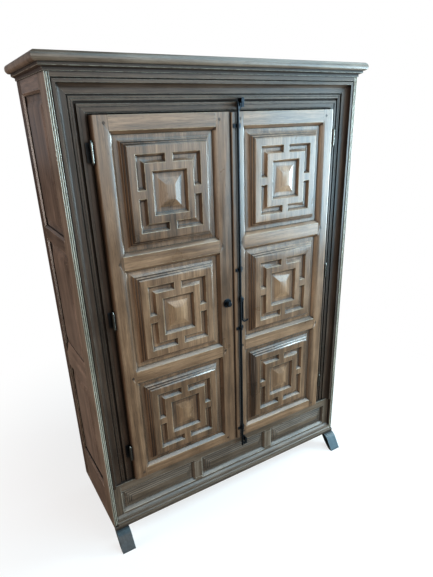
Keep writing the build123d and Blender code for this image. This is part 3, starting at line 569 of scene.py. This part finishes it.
def strip_width(face: bmesh.types.BMFace) -> float:
    """Mean width of a face that is a long strip or a ring."""
    return 2 * face.calc_area() / face.calc_perimeter()


def shade_reed_valleys(piece: bpy.types.Object, width: float = 1.0 * MM) -> None:
    """Paint shade on the narrow floors between reeds, and mark the foot of each reed there for more painted shade.

    Args:
        piece: The active mesh object, in edit mode.
        width: Width up to which a floor is narrow.
    """
    mesh = bmesh.from_edit_mesh(piece.data)
    foot = mesh.verts.layers.float.new("reed_foot")
    for face in mesh.faces:
        rising = [edge for edge in face.edges if edge.calc_face_angle_signed(0.0) < -SHALLOW]
        if rising and strip_width(face) < width:
            face.material_index = MATERIAL_SLOT[Zone.WAXED_CORNER]
            for vertex in {vertex for edge in rising for vertex in edge.verts}:
                vertex[foot] = 1.0
    bmesh.update_edit_mesh(piece.data)


def bevel_edges(piece: bpy.types.Object, width: float, zone: Zone, segments: int) -> None:
    """Bevel the sharp outer or inner edges of a piece, except beside strips too narrow for it.

    Args:
        piece: The active mesh object, in edit mode.
        width: Width of the bevel.
        zone: The worn, highlight-painted zone for the outer edges; the old wax and painted shade zone for the
            inner ones.
        segments: Steps across the bevel.
    """
    mesh = bmesh.from_edit_mesh(piece.data)
    for face in mesh.faces:
        face.select = False
    for edge in mesh.edges:
        edge.select = False
    strips = [face for face in mesh.faces if strip_width(face) < CLEARANCE * width]
    narrow = {vertex for face in strips for vertex in face.verts}
    outwards = 1 if zone is Zone.WORN_EDGE else -1
    chosen = [edge for edge in mesh.edges
              if edge.is_manifold and not narrow.intersection(edge.verts)
              and outwards * edge.calc_face_angle_signed(0.0) > SHARP]
    for edge in chosen:
        edge.select = True
    bmesh.update_edit_mesh(piece.data)
    if chosen:
        bpy.ops.mesh.bevel(offset=width, segments=segments, profile=0.5, affect="EDGES", loop_slide=False,
                           clamp_overlap=True, material=MATERIAL_SLOT[zone], miter_outer="SHARP")


def worn_and_shaded_copy(node: str, finishes: dict[Zone, WaxedWalnut | ForgedIron], slot: str, edge: float = 1.1 * MM,
              corner: float = 1.6 * MM, seed: int = 0) -> bpy.types.Object:
    """Copy a CAD node, wear its edges and paint them pale as highlights, paint old wax and shade into its corners,
    and let the copy stand for it.

    Args:
        node: Name of the CAD node.
        finishes: Finish of each zone.
        slot: Material slot of the record; not used.
        edge: Width of the worn edges, painted pale partly as highlights.
        corner: Width of the old wax and painted shade in the corners; 0 for none.
        seed: Seed of the board's own offset and tone.

    Returns:
        The new piece.
    """
    piece = bpy.data.objects.new(f"{node}_worn", frame["nodes"][node].data.copy())
    bpy.context.scene.collection.objects.link(piece)
    piece.data.materials.clear()
    for zone in Zone:
        piece.data.materials.append(finishes[zone].build())
    for polygon in piece.data.polygons:
        polygon.material_index = MATERIAL_SLOT[Zone.FACE]
    activate(piece)
    bpy.ops.object.mode_set(mode="EDIT")
    merge_triangles()
    if corner:
        shade_reed_valleys(piece)
    bevel_edges(piece, edge, Zone.WORN_EDGE, segments=2)
    if corner:
        bevel_edges(piece, corner, Zone.WAXED_CORNER, segments=1)
    bpy.ops.object.mode_set(mode="OBJECT")
    mark_boards(piece, seed)
    activate(piece)
    bpy.ops.object.shade_smooth_by_angle(angle=SMOOTH)
    apply_modifier(piece, "WEIGHTED_NORMAL", keep_sharp=True)
    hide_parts(node)
    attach(piece, BODY_OF[node])
    return piece


# Sub-assemblies -------------------------------------------------------------------------
@dataclass(frozen=True)
class Boards:
    """Boards that share a finish and the way their grain runs."""

    nodes: tuple[str, ...]
    finishes: dict[Zone, WaxedWalnut]
    slot: str = "waxed_walnut"


@dataclass(frozen=True)
class Joinery:
    """The wooden pieces of the cupboard, and the parts painted paler as sheen and highlights."""

    boards: tuple[Boards, ...] = (
        Boards(("door_left_meeting_stile", "door_left_hinge_stile", "door_right_meeting_stile",
                "door_right_hinge_stile", "door_left_panel_lower", "door_left_panel_middle",
                "door_left_panel_upper", "door_right_panel_lower", "door_right_panel_middle",
                "door_right_panel_upper", "astragal"), WALNUT[Grain.UPRIGHT]),
        Boards(("side_panels_left", "side_panels_right"), SIDE_WALNUT[Grain.UPRIGHT]),
        Boards(("side_rails_left", "side_rails_right"), SIDE_WALNUT[Grain.DEEP]),
        Boards(("door_left_rails", "door_right_rails"), WALNUT[Grain.LEVEL]),
        Boards(("jamb_moulding_left", "jamb_moulding_right", "door_jamb_left", "door_jamb_right",
                "back_feet", "back_posts"), DARK_WALNUT[Grain.UPRIGHT]),
        Boards(("cornice_front", "head_moulding", "lintel", "door_sill"), DARK_WALNUT[Grain.LEVEL]),
        Boards(("cornice_side_left", "cornice_side_right", "door_left_pegs", "door_right_pegs"),
               DARK_WALNUT[Grain.DEEP]),
        Boards(("front_post_left", "front_post_right", "base_uprights"), GREY_WALNUT[Grain.UPRIGHT]),
        Boards(("top_board", "base_rails", "base_panels", "plinth_moulding", "plinth_boards"),
               GREY_WALNUT[Grain.LEVEL]),
        Boards(("front_foot_left", "front_foot_right"), SKY_SHEEN_FOOT_WALNUT[Grain.UPRIGHT]),
        Boards(("back_boards",), PLAIN_WALNUT[Grain.UPRIGHT], "unwaxed_walnut"),
        Boards(("back_rails", "bottom_board", "shelves", "base_backing"), PLAIN_WALNUT[Grain.LEVEL],
               "unwaxed_walnut"),
        Boards(("shelf_cleats",), PLAIN_WALNUT[Grain.DEEP], "unwaxed_walnut"))
    bead_depth: float = 3.0 * MM
    boss_inset: float = 153.0 * MM
    rail_painted_sheen: float = 0.09

    def build(self) -> list[bpy.types.Object]:
        """Build every wooden piece.

        Returns:
            The pieces.
        """
        pieces = []
        for group in self.boards:
            for node in group.nodes:
                pieces.append(worn_and_shaded_copy(node, group.finishes, group.slot, seed=len(pieces)))
        for side in ("left", "right"):
            self._paint_bead_highlight(f"front_post_{side}")
            for level in ("lower", "middle", "upper"):
                self._paint_boss_light(f"door_{side}_panel_{level}")
            self._paint_rail_sheen(side)
        return pieces

    def _paint_rail_sheen(self, side: str) -> None:
        """Paint the two middle rails of a door paler than its other boards, as painted sheen.

        Args:
            side: Left or right.
        """
        lower, upper = (sum(corner.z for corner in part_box(f"door_{side}_panel_{level}")) / 2
                        for level in ("lower", "upper"))
        mesh = bpy.data.objects[f"door_{side}_rails_worn"].data
        for vertex, tone in zip(mesh.vertices, mesh.attributes["board_tone"].data):
            if lower < vertex.co.z < upper:
                tone.value += self.rail_painted_sheen

    def _paint_boss_light(self, node: str) -> None:
        """Paint the pointed boss at the middle of a door panel paler, as painted light.

        Args:
            node: A door panel.
        """
        low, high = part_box(node)
        piece = bpy.data.objects[f"{node}_worn"]
        piece.data.materials.append(BOSS_PAINTED_LIGHT_WALNUT.build())
        for polygon in piece.data.polygons:
            x, _, z = polygon.center
            across = min(x - low.x, high.x - x)
            up = min(z - low.z, high.z - z)
            if min(across, up) > self.boss_inset:
                polygon.material_index = EXTRA_SLOT

    def _paint_bead_highlight(self, node: str) -> None:
        """Paint the beads beside the carved rope pale, as painted highlights.

        Args:
            node: A corner post.
        """
        bead_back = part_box(node)[0].y + self.bead_depth
        piece = bpy.data.objects[f"{node}_worn"]
        piece.data.materials.append(BEAD_HIGHLIGHT_WALNUT.build())
        for polygon in piece.data.polygons:
            if polygon.center.y < bead_back:
                polygon.material_index = EXTRA_SLOT


@dataclass(frozen=True)
class RopeCarving:
    """A twisted rope carved down a corner post, in place of its plain half-round."""

    node: str
    twist: Twist
    seed: int
    strands: int = 2
    lead: float = 52 * MM
    radius: float = 3.6 * MM
    waist: float = 0.62
    proud: float = 0.26 * MM
    sunk: float = 0.1 * MM
    seam: float = 0.01 * MM
    points_per_strand: int = 8
    steps_per_lead: int = 18

    def build(self) -> bpy.types.Object:
        """Twist a lobed section up the post and close its ends.

        Returns:
            The rope.
        """
        low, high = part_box(self.node)
        height = high.z - low.z
        foot = Vector(((low.x + high.x) / 2, high.y - self.sunk, low.z))
        rope = self._section()
        turns = height / self.lead
        steps = int(turns * self.steps_per_lead)
        apply_modifier(rope, "SCREW", axis="Z", angle=self.twist.value * math.tau * turns,
                       screw_offset=height, iterations=1, steps=steps, render_steps=steps,
                       use_smooth_shade=True)
        rope.data.transform(Matrix.Translation(foot))
        bpy.ops.object.mode_set(mode="EDIT")
        bpy.ops.mesh.select_all(action="SELECT")
        bpy.ops.mesh.remove_doubles(threshold=self.seam)
        bpy.ops.mesh.select_all(action="DESELECT")
        bpy.ops.mesh.select_non_manifold()
        bpy.ops.mesh.edge_face_add()
        bpy.ops.mesh.select_all(action="SELECT")
        bpy.ops.mesh.normals_make_consistent(inside=False)
        bpy.ops.object.mode_set(mode="OBJECT")
        rope.data.materials.append(BEAD_HIGHLIGHT_WALNUT.build())
        mark_boards(rope, self.seed)
        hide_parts(self.node)
        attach(rope, BODY_OF[self.node])
        return rope

    def _section(self) -> bpy.types.Object:
        """The rope's cross section, a ring with one lobe for each strand.

        Returns:
            The ring, flat and round the origin.
        """
        bpy.ops.object.select_all(action="DESELECT")
        bpy.ops.mesh.primitive_circle_add(vertices=self.strands * self.points_per_strand,
                                          radius=self.radius, fill_type="NOTHING")
        ring = bpy.context.object
        ring.name = f"{self.node}_twisted"
        for index, vertex in enumerate(ring.data.vertices):
            lobe = abs(math.sin(math.pi * index / self.points_per_strand))
            reach = self.radius * (self.waist + (1 - self.waist) * lobe) + self.proud
            vertex.co = vertex.co.normalized() * reach
        return ring


@dataclass(frozen=True)
class Ironwork:
    """Hinges, bolt, keepers and knob, with their forged edges rounded."""

    black: tuple[str, ...] = ("bolt_rod", "bolt_lever", "rod_guides", "bolt_keepers", "door_knob",
                              "knob_rosette")
    leaves: tuple[str, ...] = ("hinge_frame_leaves_left", "hinge_frame_leaves_right",
                               "hinge_door_leaves_left", "hinge_door_leaves_right")
    pins: tuple[str, ...] = ("hinge_pins",)
    forged_edge: float = 0.5 * MM
    knuckle_reach: float = 5.4 * MM

    def build(self) -> list[bpy.types.Object]:
        """Build every iron piece.

        Returns:
            The pieces.
        """
        pieces = []
        for nodes, iron, slot in ((self.black, BLACK_IRON, "wrought_iron"),
                                  (self.leaves + self.pins, KNUCKLE_HIGHLIGHT_IRON, "worn_hinge_iron")):
            finishes = {zone: iron for zone in Zone}
            for node in nodes:
                pieces.append(worn_and_shaded_copy(node, finishes, slot, edge=self.forged_edge, corner=0.0))
        for node in self.leaves:
            self._blacken_leaves(node)
        return pieces

    def _blacken_leaves(self, node: str) -> None:
        """Keep the knuckles of the hinges pale, partly as a painted highlight, and turn their leaves black.

        Args:
            node: The leaves of one door's three hinges, on the frame or on the door.
        """
        side = "left" if node.endswith("left") else "right"
        hinge_x, hinge_y, _ = JOINT_OF[f"door_{side}"]["pos_m"]
        mesh = bpy.data.objects[f"{node}_worn"].data
        knuckle_highlight, black = 0, 1
        mesh.materials[black] = BLACK_IRON.build()
        for polygon in mesh.polygons:
            x, y, _ = polygon.center
            reach = math.hypot(x - hinge_x, y - hinge_y)
            polygon.material_index = knuckle_highlight if reach < self.knuckle_reach else black


# Surroundings ---------------------------------------------------------------------------
@dataclass(frozen=True)
class Lamp:
    """One soft rectangular lamp that the camera doesn't see."""

    name: str
    place: Place
    aim: Place
    width: float
    height: float
    watts: float
    colour: str

    def build(self) -> None:
        """Hang the lamp."""
        data = bpy.data.lights.new(self.name, "AREA")
        data.shape = "RECTANGLE"
        data.size = self.width
        data.size_y = self.height
        data.energy = self.watts
        data.color = linear(self.colour)[:3]
        lamp = bpy.data.objects.new(self.name, data)
        lamp.location = self.place
        lamp.rotation_euler = (Vector(self.aim) - Vector(self.place)).to_track_quat("-Z", "Y").to_euler()
        lamp.visible_camera = False
        bpy.context.scene.collection.objects.link(lamp)


@dataclass(frozen=True)
class Studio:
    """Plain pale floor, cool window light from the right, warm room light, and the camera."""

    lamps: tuple[Lamp, ...] = (
        Lamp("window_right", (2.3, -0.85, 1.3), (0.0, -0.85, 1.3), 0.9, 1.0, 115, "#cce8f4"),
        Lamp("window_back", (1.9, 1.2, 1.6), (0.0, 0.4, 1.4), 2.0, 1.6, 10, "#e2ebf2"),
        Lamp("window_front", (2.6, -2.6, 1.3), (0.2, -0.2, 1.3), 1.4, 1.8, 88, "#a4d2ea"),
        Lamp("room_front", (0.7, -3.0, 1.7), (0.0, -0.2, 1.4), 1.8, 1.4, 24, "#f0f2ee"),
        Lamp("sky_over", (1.2, -0.8, 3.2), (0.2, -0.2, 1.0), 3.0, 2.0, 85, "#b4d6e4"),
        Lamp("sky_front", (1.5, -2.7, 3.1), (0.1, -0.2, 1.2), 2.6, 1.4, 64, "#94c2dc"),
        Lamp("room_left", (-3.6, 0.5, 1.3), (-0.6, 0.0, 1.0), 0.8, 2.0, 95, "#fff0e8"),
        Lamp("room_behind_camera", (-1.2, -4.5, 1.6), (0.0, 0.0, 1.0), 3.0, 2.4, 56, "#ffe8d0"))
    camera_place: Place = (-0.98322, -1.71883, 1.71385)
    camera_right: Place = (0.84956676, -0.52678903, -0.02701176)
    camera_up: Place = (0.22629444, 0.31773701, 0.92077903)
    principal_x: float = 223.239
    principal_y: float = 313.030
    focal_pixels: float = 465.907
    sensor_mm: float = 36.0
    sight: float = 100.0
    floor_size: float = 40.0
    floor_seen: str = "#f4f4f3"
    floor_bounce: str = "#6a5f55"
    floor_paleness: float = 0.7
    shadow_ends: tuple[float, float] = (0.7, 1.9)
    air: str = "#d6e2ee"
    air_strength: float = 0.2

    def build(self) -> None:
        """Build floor, world, lamps and camera."""
        self._floor()
        self._world()
        for lamp in self.lamps:
            lamp.build()
        self._camera()

    def _floor(self) -> None:
        """The floor: the camera sees white with a soft shadow, and the object is lit as by dark boards."""
        bpy.ops.object.select_all(action="DESELECT")
        bpy.ops.mesh.primitive_plane_add(size=self.floor_size)
        floor = bpy.context.object
        floor.name = "floor"
        material = new_material("pale_floor")
        tree = material.node_tree
        near, far = self.shadow_ends
        place = add(tree, "ShaderNodeTexCoord").outputs["Object"]
        distance = add(tree, "ShaderNodeVectorMath", {0: place}, operation="LENGTH")
        fade = add(tree, "ShaderNodeMapRange", {"Value": distance.outputs["Value"]},
                   {"From Min": near, "From Max": far}, interpolation_type="SMOOTHSTEP")
        shadowed = add(tree, "ShaderNodeBsdfDiffuse", None, {"Color": linear(self.floor_seen)})
        white = add(tree, "ShaderNodeEmission", None, {"Color": grey(1.0), "Strength": 1.0})
        paled = add(tree, "ShaderNodeMixShader", {1: shadowed.outputs[0], 2: white.outputs[0]},
                    {0: self.floor_paleness})
        seen = add(tree, "ShaderNodeMixShader", {0: fade.outputs[0], 1: paled.outputs[0],
                                                 2: white.outputs[0]})
        bounce = add(tree, "ShaderNodeBsdfDiffuse", None, {"Color": linear(self.floor_bounce)})
        path = add(tree, "ShaderNodeLightPath")
        mix = add(tree, "ShaderNodeMixShader", {0: path.outputs["Is Camera Ray"], 1: bounce.outputs[0],
                                                2: seen.outputs[0]})
        add(tree, "ShaderNodeOutputMaterial", {"Surface": mix.outputs[0]})
        floor.data.materials.append(material)

    def _world(self) -> None:
        """Soft even light, white where the camera sees it."""
        world = bpy.data.worlds.new("studio_world")
        world.use_nodes = True
        bpy.context.scene.world = world
        tree = world.node_tree
        tree.nodes.clear()
        path = add(tree, "ShaderNodeLightPath")
        soft = add(tree, "ShaderNodeBackground", None,
                   {"Color": linear(self.air), "Strength": self.air_strength})
        white = add(tree, "ShaderNodeBackground", None, {"Color": grey(1.0), "Strength": 1.0})
        mix = add(tree, "ShaderNodeMixShader", {0: path.outputs["Is Camera Ray"], 1: soft.outputs[0],
                                                2: white.outputs[0]})
        add(tree, "ShaderNodeOutputWorld", {"Surface": mix.outputs[0]})

    def _camera(self) -> None:
        """The camera, from its axes and its principal point."""
        data = bpy.data.cameras.new("camera")
        data.sensor_fit = "VERTICAL"
        data.sensor_width = self.sensor_mm
        data.sensor_height = self.sensor_mm
        data.lens = self.focal_pixels / IMAGE_HEIGHT * self.sensor_mm
        data.shift_x = (IMAGE_WIDTH / 2 - self.principal_x) / IMAGE_HEIGHT
        data.shift_y = (self.principal_y - IMAGE_HEIGHT / 2) / IMAGE_HEIGHT
        data.clip_end = self.sight
        camera = bpy.data.objects.new("camera", data)
        right = Vector(self.camera_right).normalized()
        up = Vector(self.camera_up).normalized()
        back = right.cross(up)
        turn = Matrix((right, up, back)).transposed().to_4x4()
        camera.matrix_world = Matrix.Translation(self.camera_place) @ turn
        bpy.context.scene.collection.objects.link(camera)
        bpy.context.scene.camera = camera


def main() -> None:
    """Build everything and report each piece."""
    logging.basicConfig(level=logging.INFO, format="%(name)s %(message)s")
    bpy.context.scene.view_settings.view_transform = "Standard"
    Studio().build()
    pieces = Joinery().build()
    pieces.append(RopeCarving("rope_carving_left", Twist.RIGHT_HAND, seed=101).build())
    pieces.append(RopeCarving("rope_carving_right", Twist.LEFT_HAND, seed=102).build())
    pieces += Ironwork().build()
    for piece in pieces:
        LOG.info("%s: %d faces", piece.name, len(piece.data.polygons))


if __name__ == "__main__":
    main()
